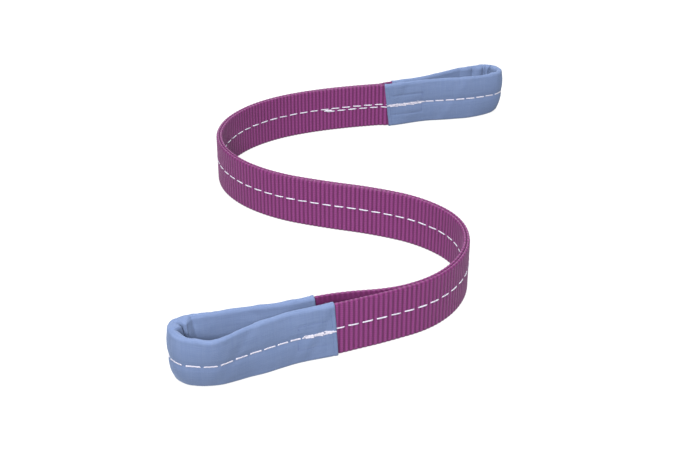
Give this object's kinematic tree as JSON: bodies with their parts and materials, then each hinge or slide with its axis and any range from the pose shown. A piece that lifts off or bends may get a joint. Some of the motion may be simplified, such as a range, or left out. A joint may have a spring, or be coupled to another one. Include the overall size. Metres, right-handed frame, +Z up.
{
  "type": "flat web sling",
  "caption": "Flat duplex webbing sling for lifting, with a sleeved soft eye at each end and stitched seams, standing on edge in an S.",
  "frame": {"origin": "middle of the sling's footprint, on the floor that it stands on", "axes": "+Z up across the webbing's width, +Y along the layout from the near eye to the far eye, +X to the right as seen from the near eye's side"},
  "size_m": [0.1962, 0.3338, 0.0312],
  "materials": {
    "webbing": "woven polyester webbing, ribbed, satin",
    "sleeve": "plain-woven cloth, matt",
    "seam_thread": "twisted white sewing thread, satin",
    "sleeve_thread": "fine blue sewing thread, satin"
  },
  "bodies": {
    "far_eye": {"far_eye_webbing": "webbing", "far_eye_sleeve": "sleeve", "far_eye_seam": "seam_thread", "far_eye_back_tack": "seam_thread", "far_eye_box_stitch": "sleeve_thread", "far_eye_hem_stitches": "sleeve_thread"},
    "far_run": {"far_run_ply_a": "webbing", "far_run_ply_b": "webbing", "far_run_seam": "seam_thread", "far_run_second_seam": "seam_thread"},
    "middle_run": {"middle_run_ply_a": "webbing", "middle_run_ply_b": "webbing", "middle_run_seam": "seam_thread"},
    "near_run": {"near_run_ply_a": "webbing", "near_run_ply_b": "webbing", "near_run_seam": "seam_thread"},
    "near_eye": {"near_eye_webbing": "webbing", "near_eye_sleeve": "sleeve", "near_eye_seam": "seam_thread", "near_eye_back_tack": "seam_thread", "near_eye_box_stitch": "sleeve_thread", "near_eye_hem_stitches": "sleeve_thread"}
  },
  "joints": [
    {"name": "left_bend_flex", "type": "hinge", "parent": "middle_run", "child": "far_run", "pos_m": [-0.09109, 0.05953, 0.0156], "axis": [0, 0, 1], "range_deg": [-25, 40]},
    {"name": "far_eye_swing", "type": "hinge", "parent": "far_run", "child": "far_eye", "pos_m": [0.00783, 0.12874, 0.0156], "axis": [0, 0, 1], "range_deg": [-35, 35]},
    {"name": "right_bend_flex", "type": "hinge", "parent": "middle_run", "child": "near_run", "pos_m": [0.05081, -0.06907, 0.0156], "axis": [0, 0, 1], "range_deg": [-25, 40]},
    {"name": "near_eye_swing", "type": "hinge", "parent": "near_run", "child": "near_eye", "pos_m": [0.02099, -0.11972, 0.0156], "axis": [0, 0, 1], "range_deg": [-35, 35]}
  ]
}
